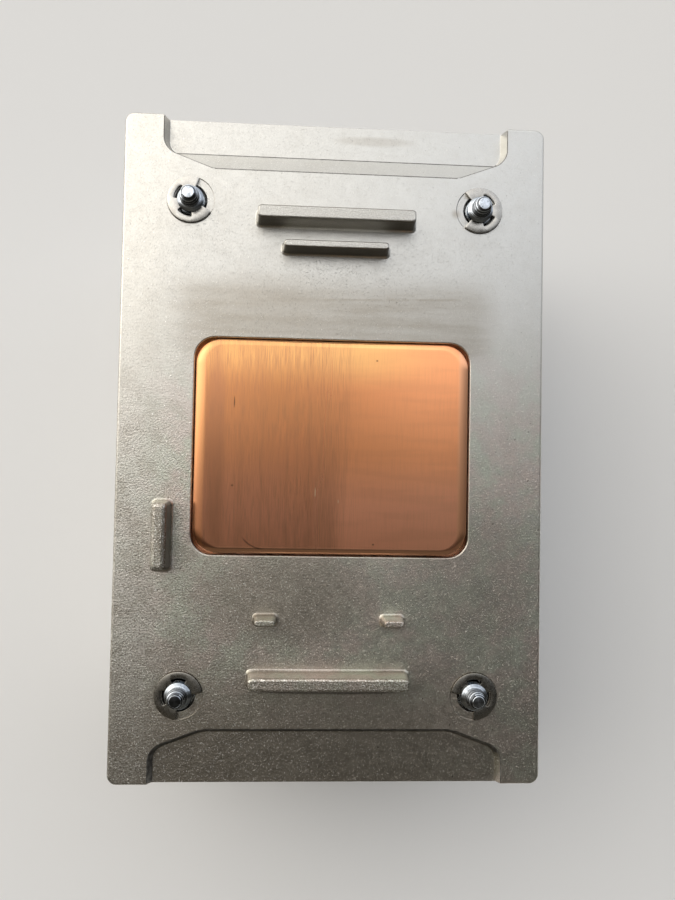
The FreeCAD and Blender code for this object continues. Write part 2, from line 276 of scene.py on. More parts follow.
def millimetres(centre=(0.0, 0.0, 0.0), stretch=(1.0, 1.0, 1.0)):
    """Object coordinates in millimetres from centre, each axis divided by its stretch."""
    place = add_node("ShaderNodeTexCoord").outputs["Object"]
    scale = [1000.0 / s for s in stretch]
    offset = [-c / s for c, s in zip(centre, stretch)]
    made = add_node("ShaderNodeMapping", {"Vector": place, "Scale": scale, "Location": offset})
    return made.outputs["Vector"]


def noise(place, scale, detail=2.0, roughness=0.5, distortion=0.0):
    """Noise from 0 to 1 with features about 1/scale millimetres wide."""
    sockets = {"Vector": place, "Scale": scale, "Detail": detail, "Roughness": roughness,
               "Distortion": distortion}
    return add_node("ShaderNodeTexNoise", sockets).outputs["Fac"]


def drawn_out(stretch, scale, **kind):
    """Noise that is drawn out along each axis by its stretch."""
    return noise(millimetres(stretch=stretch), scale, **kind)


def length(vector):
    return add_node("ShaderNodeVectorMath", {0: vector}, operation="LENGTH").outputs["Value"]


def distance_to(value, level):
    """How far a value is from a level, either way."""
    return math_node("ABSOLUTE", math_node("SUBTRACT", value, level))


def blob(centre, size, inner=0.6):
    """1 in the inner share of an ellipsoid about centre, falling softly to 0 at its skin."""
    return ramp(length(millimetres(centre, size)), inner, 1.0, 1.0, 0.0)


def coat(colour, *masks):
    """Lays a colour over the tone so far; the masks, multiplied, say where and how strongly."""
    global tone
    tone = mix_colour(times(*masks), tone, colour)


def bump(height, distance, under=None):
    """A bump of that distance in millimetres, on top of another bump if there is one."""
    sockets = {"Height": height, "Distance": distance / 1000, "Strength": 1.0}
    if under is not None:
        sockets["Normal"] = under
    return add_node("ShaderNodeBump", sockets).outputs["Normal"]


def dress(shader, tone, roughness, surface):
    """Joins a finish's colour, roughness and bumps to its shader."""
    for socket, value in (("Base Color", tone), ("Roughness", roughness), ("Normal", surface)):
        graph.links.new(value, shader.inputs[socket])


# %% [markdown]
# ## Finish: tumbled cast aluminium
#
# The plate is a grey casting that was tumbled with stones. Seen close it is not one grey: it drifts
# between olive and brown near the viewer, and it is calmer at the far end. The far end is also
# painted paler, as painted light from the bright side of the room.
# The colour graph is built from broad to fine, and the broad tones come first.

# %% Cast aluminium: broad tones
cast_olive = (0.505, 0.520, 0.430, 1.0)
cast_brown = (0.560, 0.480, 0.425, 1.0)
# The pale tone serves real pale blotches, and painted light on the left edge.
cast_pale_and_lit = (0.60, 0.575, 0.52, 1.0)
cast_cool = (0.63, 0.625, 0.60, 1.0)
cast_far_painted_light = (0.56, 0.545, 0.505, 1.0)
# The stain, grime and pit tones serve real stains, grain and pits, and also painted shade.
stain_and_shade_tone = (0.345, 0.310, 0.258, 1.0)
grime_and_shade_tone = (0.24, 0.215, 0.175, 1.0)
pit_and_shade_tone = (0.17, 0.155, 0.13, 1.0)
struck_tone = (0.90, 0.875, 0.82, 1.0)

cast_aluminium, shader = new_finish("cast_aluminium")
place = millimetres()
x, y, z = axes(place)
drift = noise(place, 0.16, detail=4.0, roughness=0.6)
cloud = noise(place, 0.55, detail=4.0, roughness=0.7)
marked = ramp(y, 26.0, -12.0, 0.3, 1.0)
tone = mix_colour(ramp(drift, 0.38, 0.62), cast_olive, cast_brown)
# Painted light: the far end is paler, lit by the bright side of the room.
coat(cast_far_painted_light, ramp(y, -10.0, 30.0))
coat(cast_pale_and_lit, ramp(cloud, 0.45, 0.72, 0.0, 0.6), marked)
cool_corner = blob((44.0, 52.0, -1.0), (52.0, 42.0, 12.0), 0.2)
coat(cast_cool, cool_corner, 0.5)
print("cast aluminium, broad tones:", len(graph.nodes), "nodes")

# %% [markdown]
# Painted shade darkens it in a band beyond the slug, where wiped streaks lie under a painted dark
# reflection, on the near half, at the near end and in its recess, and on the right. The left edge is
# painted pale, as painted light from the bright side.

# %% Cast aluminium: painted shade and light, and a wiped band
wiping = drawn_out((16.0, 1.8, 1.0), 1.0, detail=3.0, roughness=0.6)
# Painted shade and a painted dark reflection over the wiped band; painted shade on the near half and
# at the near end.
wiped_band_and_reflection = times(ramp(x, -39.0, -22.0), ramp(x, 33.5, 26.0),
               ramp(y, 14.0, 21.0), ramp(y, 34.5, 28.0),
               ramp(wiping, 0.3, 0.7, 0.50, 0.84))
near_half_shade = blob((-8.0, -28.5, -1.0), (25.0, 14.0, 6.0), 0.3)
near_end_shade = times(ramp(y, -30.0, -56.0), ramp(x, 18.0, 36.0, 1.0, 0.5))
off_the_ribs = ramp(z, -0.6, 1.5, 1.0, 0.1)
patchy = ramp(cloud, 0.2, 0.6, 0.75, 1.0)
coat(stain_and_shade_tone, greatest(wiped_band_and_reflection, near_half_shade, near_end_shade), off_the_ribs, patchy)
# Painted light on the left edge; painted shade on the right, at the near end and on the flat recess's
# floor.
left_edge_lit = ramp(x, -27.0, -38.0, 0.0, 0.8)
coat(cast_pale_and_lit, left_edge_lit)
right_shade = blob((27.0, -24.0, -1.0), (20.0, 20.0, 8.0), 0.3)
coat(stain_and_shade_tone, right_shade, 0.5)
near_left = ramp(x, 26.0, 8.0)
coat(grime_and_shade_tone, ramp(y, -38.0, -58.0, 0.0, 0.5), near_left)
flat_recess_shade = blob((0.0, -59.5, -2.5), (38.0, 6.8, 1.2), 0.9)
coat(grime_and_shade_tone, flat_recess_shade, 0.5)
print("cast aluminium, handled:", len(graph.nodes), "nodes")

# %% [markdown]
# The stones leave dark grain and pits, and thin curved dashes, which come from a noise too.
# Where a noise passes through one chosen value, it draws contour lines. Keeping only a narrow
# band about that value leaves the lines, and a second noise breaks them up into short marks.

# %% Cast aluminium: grain, pits and struck marks
def contour_dashes(place, scale, width, kept):
    """Short thin curved marks, 1 on a mark and 0 elsewhere."""
    field = noise(place, scale, detail=1.0, distortion=1.6)
    line = ramp(distance_to(field, 0.5), 0.0, width, 1.0, 0.0)
    pieces = ramp(noise(place, scale * 1.7, detail=1.0), kept, kept + 0.06)
    return times(line, pieces)


rougher = times(ramp(x, 20.0, -36.0, 0.45, 1.0), ramp(y, 30.0, -25.0, 0.22, 1.0))
shadowy = noise(place, 0.24, detail=5.0, roughness=0.7)
coat(stain_and_shade_tone, ramp(shadowy, 0.46, 0.64, 0.0, 0.55), rougher)
speckle = noise(place, 3.2, detail=2.0, roughness=0.75)
coat(grime_and_shade_tone, ramp(speckle, 0.50, 0.66), rougher, 0.85)
pits = ramp(noise(place, 1.9, detail=2.0), 0.68, 0.75)
coat(pit_and_shade_tone, pits, marked)
left_side = ramp(x, 15.0, -36.0, 0.4, 1.25)
dots = ramp(noise(place, 5.2, detail=1.0), 0.70, 0.77)
struck = greatest(contour_dashes(place, 1.7, 0.034, 0.55), dots)
coat(struck_tone, struck, left_side, 0.8)
print("cast aluminium, tumbled:", len(graph.nodes), "nodes")

# %% [markdown]
# A few marks are single: painted shadows beside the nubs, painted shade in the wiped band, a darker
# strip in the deep recess, and a thin circle that a drop left by one ring. The wiped band ends in a
# faint slanting line, and a dark line along the near rib's foot is painted shadow and dirt.

# %% Cast aluminium: single stains
# Painted shadows beside the nubs, painted shade in the wiped band, and real stains.
single_marks = [
    # centre, size, the share of the size where the mark is full, strength
    ((-12.6, -31.6, -1.0), (5.2, 3.4, 2.0), 0.3, 0.8),
    ((12.2, -33.6, -1.0), (3.0, 1.6, 2.0), 0.3, 0.8),
    ((-15.0, 27.0, -1.0), (18.0, 9.0, 3.0), 0.3, 0.34),
    ((7.5, 61.0, -3.7), (10.0, 1.3, 2.0), 0.4, 0.45),
]
drop_centre = (23.4, 46.2, -1.0)
drop_size = (1.35, 1.35, 3.0)
line_slope = 0.03
line_y = 28.55

stains_and_shades = [times(blob(centre, size, inner), strength)
          for centre, size, inner, strength in single_marks]
stains_and_shades.append(times(blob(drop_centre, drop_size, 0.75), blob(drop_centre, drop_size, 0.0)))
straightened = math_node("SUBTRACT", y, times(x, line_slope))
line = ramp(distance_to(straightened, line_y), 0.05, 0.35, 0.75, 0.0)
line_part = blob((11.0, 28.9, -1.0), (14.5, 3.0, 2.0), 0.8)
stains_and_shades.append(times(line, line_part, ramp(cloud, 0.36, 0.52, 0.25, 1.0)))
coat(stain_and_shade_tone, greatest(*stains_and_shades), 0.8)
# Painted shadow and dirt along the near rib's foot.
foot_shadow_and_dirt = blob((-0.3, -46.35, -1.0), (15.9, 0.45, 1.2), 0.7)
coat(pit_and_shade_tone, foot_shadow_and_dirt, 0.85)
print("single stains:", len(stains_and_shades))

# %% [markdown]
# The far ribs' near walls and the side rib's right wall turn away from the light, so they are painted
# dark, as painted shade: the object's own normal tells which way a wall faces. The long far rib's
# wall is painted lighter in its middle, as a painted reflection of the plate before it. The tops of
# the ribs are struck hardest: the near ones are grainy, with bright points. The far ones are calmer,
# with a dark line on the far edge.

# %% Cast aluminium: the ribs
facing_x, facing_y, _ = axes(add_node("ShaderNodeTexCoord").outputs["Normal"])
# Painted shade on walls that turn away from the light, lighter in the long wall's middle as a painted
# reflection.
turned_near = times(ramp(facing_y, -0.4, -0.9), ramp(y, 0.0, 30.0))
turned_right = times(ramp(facing_x, 0.3, 0.8), ramp(x, -28.0, -31.0))
above_face = ramp(z, -0.9, -0.2)
wall_reflected_middle = blob((0.0, 42.4, 1.0), (13.0, 1.6, 9.0), 0.55)
wall_shade = math_node("SUBTRACT", 0.92, times(wall_reflected_middle, 0.6))
coat(pit_and_shade_tone, greatest(turned_near, turned_right), above_face, wall_shade)

on_top = ramp(z, 2.8, 3.4)
grain = ramp(noise(place, 3.4, detail=2.0, roughness=0.7), 0.40, 0.56)
top_grain = times(grain, on_top, ramp(y, 10.0, -8.0, 0.25, 0.95))
side_rib_grain = blob((-31.1, -17.3, 3.8), (1.5, 7.5, 1.4), 0.2)
coat(grime_and_shade_tone, greatest(top_grain, side_rib_grain))
far_edge = times(ramp(facing_y, 0.12, 0.4), ramp(y, 30.0, 36.0))
coat(pit_and_shade_tone, far_edge, ramp(z, 1.5, 2.2, 0.0, 0.85))
bright_points = ramp(noise(place, 4.4, detail=1.0), 0.60, 0.68)
coat(struck_tone, bright_points, on_top, ramp(y, 10.0, -8.0), 0.7)
print("cast aluminium, colour:", len(graph.nodes), "nodes")

# %% [markdown]
# The bump makes the sparkle. Each dimple tips its small part of the surface, so one mirrors the
# bright side of the room and its neighbour the dark one. The dimples are about a third of a
# millimetre wide. On the tops of the ribs, which the stones hit harder, they are finer and
# deeper.

# %% Cast aluminium: surface
waves = noise(place, 0.45, detail=2.0)
dimples = noise(place, 3.0, detail=2.0, roughness=0.6)
hard_dimples = noise(place, 4.2, detail=2.0, roughness=0.7)
surface = bump(times(waves, marked), 0.012)
surface = bump(times(dimples, left_side, marked), 0.055, under=surface)
surface = bump(struck, 0.02, under=surface)
surface = bump(times(hard_dimples, ramp(z, 2.6, 3.2)), 0.08, under=surface)
dress(shader, tone, ramp(cloud, 0.25, 0.75, 0.42, 0.33), surface)
print("cast aluminium, all:", len(graph.nodes), "nodes")

# %% [markdown]
# ## Finish: dirt and painted shade in the creases
#
# The outline of the recesses is drawn as a dark, dull, broken line: partly dirt that settles where
# tumbling can't reach, and partly painted shade in the creases. It is a finish of its own, which only
# the narrow faces of the rounded edges and the flat recess's walls get, because that follows the
# metal exactly. On the flat recess's walls it is painted shade.

# %% Dirt and painted shade in the creases
crease_dark = (0.13, 0.125, 0.115, 1.0)
crease_light = (0.26, 0.25, 0.23, 1.0)

cast_crease, shader = new_finish("cast_crease")
place = millimetres()
broken = noise(place, 0.9, detail=4.0, roughness=0.6)
tone = mix_colour(ramp(broken, 0.35, 0.7), crease_dark, crease_light)
dress(shader, tone, ramp(broken, 0.3, 0.7, 0.45, 0.6), bump(noise(place, 4.0), 0.02))
print("creases:", len(graph.nodes), "nodes")

# %% [markdown]
# ## Finish: ground copper
#
# The contact face was ground flat with a belt that ran along the plate, and then half of it
# was gone over with a finer belt. So it has straight lines along Y, coarse and dark on one
# Lines smear a highlight across themselves: that is anisotropy, and the piece's UV map tells the
# shader which way is across. The colour is yellower at the far end, darker in the middle, pinker at
# the near end, and brighter at the right: partly the copper's own tint, and partly painted reflection
# and painted shade that follow the room's bright and dim sides.

# %% Copper: tones
# The tones along Y and the right's tones are partly the copper's own, partly painted reflection and
# painted shade.
copper_far_tint_and_sheen = (0.86, 0.465, 0.18, 1.0)
copper_middle_tint_and_shade = (0.74, 0.305, 0.133, 1.0)
copper_near_tint_and_sheen = (0.92, 0.405, 0.235, 1.0)
copper_right_painted_light = (1.0, 0.42, 0.195, 1.0)
copper_right_near_painted_light = (1.0, 0.46, 0.27, 1.0)
copper_shade = (0.42, 0.19, 0.07, 1.0)
copper_line_and_shade = (0.42, 0.19, 0.10, 1.0)

copper_ground, shader = new_finish("copper_ground", Anisotropic=0.9)
tangent = add_node("ShaderNodeTangent", direction_type="UV_MAP", uv_map="across").outputs[0]
graph.links.new(tangent, shader.inputs["Tangent"])
x, y, _ = axes(millimetres())
tone = mix_colour(ramp(y, 18.0, 10.0), copper_far_tint_and_sheen, copper_middle_tint_and_shade)
coat(copper_near_tint_and_sheen, ramp(y, 1.0, -14.0))
right_painted_light = mix_colour(ramp(y, 0.0, -12.0), copper_right_painted_light, copper_right_near_painted_light)
coat(right_painted_light, ramp(x, 4.0, 24.0, 0.0, 0.9))
print("copper, tones:", len(graph.nodes), "nodes")

# %% [markdown]
# The border between the halves wavers and leans a little, so it is drawn on a shifted X. Noise drawn
# out along Y gives the lines that can be seen one by one, in three widths. A dark band of painted
# shade runs beside the left rim, a patch beyond the middle gets painted shade too, and cloths have
# wiped faint streaks across the fine half.

# %% Copper: two halves and their lines
uneven = drawn_out((1.0, 12.0, 4.0), 0.9, detail=2.0)
shifted = math_node("ADD", x, ramp(uneven, 0.2, 0.8, -0.8, 0.8))
shifted = math_node("ADD", shifted, ramp(y, 18.0, -18.0, -0.8, 1.6))
coarse_half = ramp(shifted, 5.0, 0.0)
lines_fine = drawn_out((1.0, 26.0, 4.0), 4.6, detail=2.0, roughness=0.6)
lines_bold = drawn_out((1.0, 36.0, 4.0), 7.5, detail=1.0, roughness=0.75)
bands = drawn_out((1.0, 60.0, 4.0), 0.55, detail=2.0, roughness=0.6)
wiped = drawn_out((11.0, 1.3, 4.0), 0.6, detail=2.0)
# Painted shade beside the left rim, and on a patch beyond the middle.
rim_shade_band = blob((-22.2, 1.0, 0.0), (2.3, 29.0, 4.0), 0.4)
shaded_patch = blob((-4.5, 10.0, 0.0), (16.0, 10.0, 8.0), 0.2)

coat(copper_shade, ramp(x, 9.0, -14.0), ramp(y, 12.0, -8.0, 0.6, 0.0), ramp(y, 18.0, 11.0, 0.6, 1.0))
line_coats = [
    (coarse_half, ramp(y, 14.0, -12.0, 0.0, 0.42)),
    (ramp(lines_fine, 0.42, 0.70), ramp(shifted, 0.0, 8.0, 0.30, 0.10)),
    (ramp(lines_bold, 0.46, 0.66), coarse_half, ramp(y, 12.0, -4.0, 0.55, 0.34)),
    (ramp(bands, 0.46, 0.62), coarse_half, 0.2),
    (rim_shade_band, 0.58),
]
for masks in line_coats:
    coat(copper_line_and_shade, *masks)
# Painted shade on a patch beyond the middle.
coat(copper_shade, shaded_patch, 0.2)
coat(copper_line_and_shade, ramp(wiped, 0.42, 0.62, 0.0, 0.10), ramp(x, -8.0, 8.0))
print("copper, lines:", len(graph.nodes), "nodes")

# %% [markdown]
# The rims have tones of their own, because they mirror other parts of the room. A few marks
# finish the face: a nick, three dots, a curved scratch that is part of a circle's line, and
# two short bright ones.

# %% Copper: rims and marks
copper_rim = (0.73, 0.335, 0.145, 1.0)
copper_rim_near = (0.80, 0.345, 0.17, 1.0)
copper_rim_right = (0.93, 0.46, 0.25, 1.0)
copper_end = (1.0, 0.52, 0.31, 1.0)
copper_mark = (0.16, 0.07, 0.035, 1.0)
copper_scratch = (0.98, 0.80, 0.55, 1.0)
dot_places = ((8.3, 16.8, 0.0), (8.1, -18.3, 0.0), (-18.8, -7.5, 0.0))
arc_centre = (-12.6, -14.4, 0.0)
arc_radius = 5.0
arc_sharpness = 24.0

left_tone = mix_colour(ramp(y, 4.0, -14.0), copper_rim, copper_rim_near)
coat(left_tone, ramp(x, -23.9, -24.5))
coat(copper_rim_right, ramp(x, 23.9, 24.6))
coat(copper_end, ramp(y, -18.9, -19.5))
arc_place = millimetres(arc_centre, (arc_radius, arc_radius, 1000.0))
off_arc = times(distance_to(length(arc_place), 1.0), arc_sharpness)
arc_line = math_node("SUBTRACT", 1.0, math_node("MINIMUM", off_arc, 1.0))
arc_part = blob((-15.0, -18.6, 0.0), (3.0, 2.0, 10.0), 0.5)
nick = blob((-18.7, 8.3, 0.0), (0.14, 1.3, 2.0))
dots = [blob(dot, (0.3, 0.25, 2.0), 0.2) for dot in dot_places]
coat(copper_mark, greatest(nick, times(arc_line, arc_part), *dots), 0.85)
scratches = greatest(blob((-3.1, -8.6, 0.0), (0.09, 1.1, 2.0)),
                     blob((1.3, -10.2, 0.0), (0.08, 0.45, 2.0)))
coat(copper_scratch, scratches, 0.6)
surface = bump(times(lines_bold, ramp(x, 12.0, -6.0)), 0.004)
dress(shader, tone, ramp(shifted, -3.0, 8.0, 0.27, 0.32), surface)
print("copper:", len(graph.nodes), "nodes")

# %% [markdown]
# ## Finish: zinc-plated screws
#
# The screws are steel, turned on a lathe and plated with bright blue-white zinc. Plating
# follows the turning marks, which are fine rings round the screw's axis. All four screws stand
# at the same distance from the middle in X and in Y, so folding the coordinates there with an
# absolute value brings the four axes together, and one ring pattern serves all of them.
#
# The distance from the axis also finds the roots of the thread: they lie deeper than the crests,
# which come in towards the tip, and they are painted dark, for old grease and for the shade that
# falls into them. The collar is dull, and the two near screws' flat tips are darker, the left one
# most.

# %% Zinc plating
def in_mm(box):
    """The lowest and highest corner of a box, in millimetres."""
    return [corner * 1000 for corner in box]


screw_low, screw_high = in_mm(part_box("screw_2"))
screw_axis = (screw_low + screw_high) / 2
screw_tip = screw_high.z
zinc_tone = (0.62, 0.66, 0.70, 1.0)
zinc_tone_dark = (0.26, 0.28, 0.30, 1.0)
zinc_near_black = (0.05, 0.052, 0.055, 1.0)
turning_marks = 42.0


def distance_from_screw(x, y):
    """How far a point is from the nearest screw's axis, in millimetres."""
    sides = [math_node("SUBTRACT", math_node("ABSOLUTE", side), axis)
             for side, axis in zip((x, y), screw_axis)]
    return length(add_node("ShaderNodeCombineXYZ", {"X": sides[0], "Y": sides[1]}).outputs[0])


zinc_plated, shader = new_finish("zinc_plated")
place = millimetres()
x, y, z = axes(place)
radius = distance_from_screw(x, y)
haze = noise(place, 1.4, detail=4.0, roughness=0.6)
tone = mix_colour(ramp(haze, 0.4, 0.75), zinc_tone, zinc_tone_dark)
crest = ramp(z, screw_tip - 2.5, screw_tip, 2.0, 1.45)
root_shade_and_grease = ramp(math_node("SUBTRACT", crest, radius), 0.04, 0.15)
below_tip = ramp(z, screw_tip - 0.12, screw_tip - 0.2)
# Painted shade and grease in the thread's roots.
coat(zinc_near_black, root_shade_and_grease, below_tip, ramp(z, 0.0, 0.3), 0.9)
on_collar = times(ramp(radius, 2.0, 2.1), ramp(z, -1.2, -0.8))
patchy = ramp(noise(place, 2.2, detail=3.0), 0.3, 0.6, 0.5, 1.0)
coat(zinc_tone_dark, on_collar, patchy, 0.8)
on_tip = times(ramp(z, screw_tip - 0.09, screw_tip - 0.03), ramp(y, -30.0, -42.0))
coat(zinc_near_black, on_tip, ramp(x, -10.0, 10.0, 0.93, 0.4))
surface = bump(math_node("SINE", times(radius, turning_marks)), 0.003)
surface = bump(noise(place, 6.0), 0.006, under=surface)
dress(shader, tone, ramp(haze, 0.3, 0.7, 0.09, 0.18), surface)
print("screw axis from the middle, mm:", [round(v, 2) for v in screw_axis.xy])

# %% [markdown]
# ## Finishes: ring steel and spring steel
#
# A retaining ring is punched from hardened strip: dull, slightly brown from its heat treatment, with
# fine scratches from the tool that pushed it on, and the two near ones darker. Spring wire was drawn
# through a die, so it is smoother and brighter. Both are simple greys whose roughness changes from
# place to place.

# %% Ring and spring steel
steel_near_tone = (0.13, 0.118, 0.095, 1.0)


def plain_steel(name, tones, rough, scratch, near_darkening=0.0):
    """A steel with blotchy tone and roughness, a fine scratched bump, and darker towards the near
    end.
    """
    material, shader = new_finish(name)
    place = millimetres()
    blotch = noise(place, 0.8, detail=5.0, roughness=0.65)
    tone = mix_colour(ramp(blotch, 0.35, 0.7), *tones)
    tone = mix_colour(ramp(axes(place)[1], -30.0, -42.0, 0.0, near_darkening), tone, steel_near_tone)
    fine = noise(place, 3.0, detail=4.0, roughness=0.7)
    streaks = drawn_out((1.0, 5.0, 1.0), 7.0, detail=3.0)
    dress(shader, tone, ramp(fine, 0.3, 0.7, *rough), bump(streaks, scratch))
    return material


ring_tones = ((0.49, 0.47, 0.43, 1.0), (0.40, 0.38, 0.345, 1.0))
spring_tones = ((0.58, 0.575, 0.56, 1.0), (0.42, 0.415, 0.40, 1.0))
ring_steel = plain_steel("ring_steel", ring_tones, (0.2, 0.34), scratch=0.008, near_darkening=0.6)
spring_steel = plain_steel("spring_steel", spring_tones, (0.22, 0.36), scratch=0.004)
print("steels:", ring_steel.name, spring_steel.name)

# %% [markdown]
# ## Finishes: rolled fin sheet and drawn copper tube
#
# Fins are stamped from rolled aluminium sheet. Rolling leaves faint lines along the sheet, and
# the sheet shines more than the casting does. Each fin catches the light a little differently,
# which a slow noise across the stack stands for. The heat pipes are copper tube, drawn,
# flattened and tarnished by the solder oven.

# %% Rolled sheet and tube
sheet_light = (0.71, 0.715, 0.72, 1.0)
sheet_dark = (0.60, 0.605, 0.61, 1.0)
sheet_line = (0.47, 0.47, 0.47, 1.0)
tube_bright = (0.70, 0.36, 0.22, 1.0)
tube_tarnished = (0.42, 0.22, 0.15, 1.0)

fin_aluminium, shader = new_finish("fin_aluminium")
rolling = drawn_out((1.0, 40.0, 1.0), 3.0, detail=4.0, roughness=0.6)
from_fin_to_fin = drawn_out((1.0, 400.0, 400.0), 0.42, detail=0.0)
tone = mix_colour(ramp(from_fin_to_fin, 0.3, 0.7), sheet_light, sheet_dark)
coat(sheet_line, ramp(rolling, 0.45, 0.8, 0.0, 0.4))
dress(shader, tone, ramp(rolling, 0.3, 0.7, 0.30, 0.42), bump(rolling, 0.006))

pipe_copper, shader = new_finish("pipe_copper")
tarnish = noise(millimetres(), 0.25, detail=5.0, roughness=0.65)
drawing = drawn_out((1.0, 30.0, 1.0), 5.0, detail=3.0)
tone = mix_colour(ramp(tarnish, 0.35, 0.7), tube_bright, tube_tarnished)
dress(shader, tone, ramp(tarnish, 0.3, 0.7, 0.35, 0.55), bump(drawing, 0.005))
print("sheet and tube:", fin_aluminium.name, pipe_copper.name)

# %% [markdown]
# ## Helpers for bmesh operations
#
# The same few operations shape every piece: points are shifted, stretched, turned and welded,
# and edges are picked out and bevelled. The bevel always makes a round profile and keeps each
# face's material. A flat sheet can be pulled up, and a shape cut along a plane and closed.

# %% Moves, bevels and cuts
def shift(bm, verts, vec):
    bmesh.ops.translate(bm, verts=verts, vec=vec)


def stretch(bm, verts, vec):
    bmesh.ops.scale(bm, verts=verts, vec=vec)


def turn_about(bm, verts, degrees, axis="Z"):
    matrix = Matrix.Rotation(math.radians(degrees), 3, axis)
    bmesh.ops.rotate(bm, verts=verts, cent=(0, 0, 0), matrix=matrix)


def weld(bm, within):
    """Joins points that lie together."""
    bmesh.ops.remove_doubles(bm, verts=bm.verts, dist=within)


def face_outwards(bm):
    bmesh.ops.recalc_face_normals(bm, faces=bm.faces)


def bevel(bm, geom, offset, segments, affect="EDGES", **more):
    """Rounds edges or corners, and gives what the operation made."""
    return bmesh.ops.bevel(bm, geom=geom, offset=offset, offset_type="OFFSET", affect=affect,
                           segments=segments, profile=0.5, material=-1, **more)


def only(kind, geom):
    return [g for g in geom if isinstance(g, kind)]


def pull_up(bm, height, **more):
    """Extrudes a flat sheet upwards."""
    grown = bmesh.ops.extrude_face_region(bm, geom=bm.faces[:], **more)["geom"]
    shift(bm, only(bmesh.types.BMVert, grown), (0, 0, height))
    face_outwards(bm)


def cut_beyond(bm, point, outwards):
    """Cuts away what lies beyond a plane, and closes the cut."""
    everything = bm.verts[:] + bm.edges[:] + bm.faces[:]
    cut = bmesh.ops.bisect_plane(bm, geom=everything, plane_co=point, plane_no=outwards,
                                 clear_outer=True)["geom_cut"]
    bmesh.ops.holes_fill(bm, edges=only(bmesh.types.BMEdge, cut), sides=0)


def fill_open_edges(bm):
    bmesh.ops.holes_fill(bm, edges=[e for e in bm.edges if e.is_boundary], sides=0)


def edge_rise(edge):
    """How much an edge climbs."""
    return abs((edge.verts[0].co - edge.verts[1].co).z)


def sharp_edges(bm, sharper_than):
    return [e for e in bm.edges if e.is_manifold and e.calc_face_angle() > math.radians(sharper_than)]


# %% [markdown]
# ## From a bmesh to a finished piece
#
# New pieces are drawn in millimetres, and shrunk to metres when they are done. Faces that meet
# at a shallow angle are shaded as one smooth surface, and the others stay crisp. A Weighted
# Normal modifier then lets the large flat faces decide, so that a small rounding beside a flat
# one doesn't smear shade over it.

# %% Piece helpers
smooth_below = 32.0
flat_face_weight = 80


def finished(bm, name, material, body):
    """Makes the bmesh an object that rides on a body; its numbers are metres by now."""
    mesh = mesh_from(bm, name)
    mesh.materials.append(material)
    mesh.shade_smooth()
    mesh.set_sharp_from_angle(angle=math.radians(smooth_below))
    piece = linked(name, mesh)
    even = piece.modifiers.new("even_shade", "WEIGHTED_NORMAL")
    even.keep_sharp = True
    even.weight = flat_face_weight
    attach(piece, body)
    print(name, "faces:", len(mesh.polygons))
    return piece


def shrunk(bm):
    """Turns all faces outwards, and the numbers from millimetres to metres."""
    face_outwards(bm)
    stretch(bm, bm.verts, (0.001, 0.001, 0.001))
    return bm


def to_metres(bm):
    weld(bm, 0.001)
    return shrunk(bm)


# %% [markdown]
# ## Helpers for cast, cut and turned shapes
#
# Most forms of this heatsink rise through rectangles that change in size: a rib narrows
# upwards, and the casting flares at its foot. One helper makes them all: it extrudes a rounded
# rectangle, and scales it at every level. The round forms are spun: half an outline is drawn
# beside the axis, and turned about it. The last helper lets a Boolean modifier add such shapes
# to another, or cut them from it, and takes the result back.

# %% Towers, spins and Booleans
def tower(levels, corner=0.0, segments=8, centre=(0.0, 0.0)):
    """A closed shape through rectangles one above the other, each (size in X, size in Y, height)."""
    bm = bmesh.new()
    bmesh.ops.create_grid(bm, x_segments=1, y_segments=1, size=0.5)
    stretch(bm, bm.verts, (levels[0][0], levels[0][1], 1.0))
    shift(bm, bm.verts, (0, 0, levels[0][2]))
    if corner:
        bevel(bm, list(bm.verts), corner, segments, affect="VERTICES")
    top = bm.faces[:]
    for lower, upper in zip(levels, levels[1:]):
        top = bmesh.ops.extrude_discrete_faces(bm, faces=top)["faces"]
        ring = top[0].verts
        stretch(bm, ring, (upper[0] / lower[0], upper[1] / lower[1], 1.0))
        shift(bm, ring, (0, 0, upper[2] - lower[2]))
    fill_open_edges(bm)
    face_outwards(bm)
    shift(bm, bm.verts, (centre[0], centre[1], 0))
    return bm


def block(size_x, size_y, low, high, **shape):
    """A tower whose size stays the same."""
    return tower([(size_x, size_y, low), (size_x, size_y, high)], **shape)


def edge_chain(bm, outline):
    """Edges through points beside the axis, each (distance from the axis, height)."""
    verts = [bm.verts.new((r, 0, z)) for r, z in outline]
    return verts + [bm.edges.new(pair) for pair in zip(verts, verts[1:])]


def spun(bm, geom, steps=48, degrees=360.0, lift=0.0):
    """Spins edges round Z, with a lift at each step."""
    closed = degrees == 360.0 and lift == 0.0
    bmesh.ops.spin(bm, geom=geom, cent=(0, 0, 0), axis=(0, 0, 1), dvec=(0, 0, lift),
                   angle=math.radians(degrees), steps=steps, use_merge=closed)


def combined(base, tools, operation, use_self=False):
    """Adds the tools to the base, or cuts them from it, and gives the result as a bmesh."""
    blank = linked("blank", mesh_from(base, "blank"))
    cutters = [linked("tool", mesh_from(tool, "tool")) for tool in tools]
    for cutter in cutters:
        modifier = blank.modifiers.new("combine", "BOOLEAN")
        modifier.object = cutter
        modifier.operation = operation
        modifier.solver = "EXACT"
        modifier.use_self = use_self
    bpy.context.view_layer.update()
    result = bmesh.new()
    result.from_object(blank, bpy.context.evaluated_depsgraph_get())
    for used in [blank] + cutters:
        bpy.data.objects.remove(used)
    return result


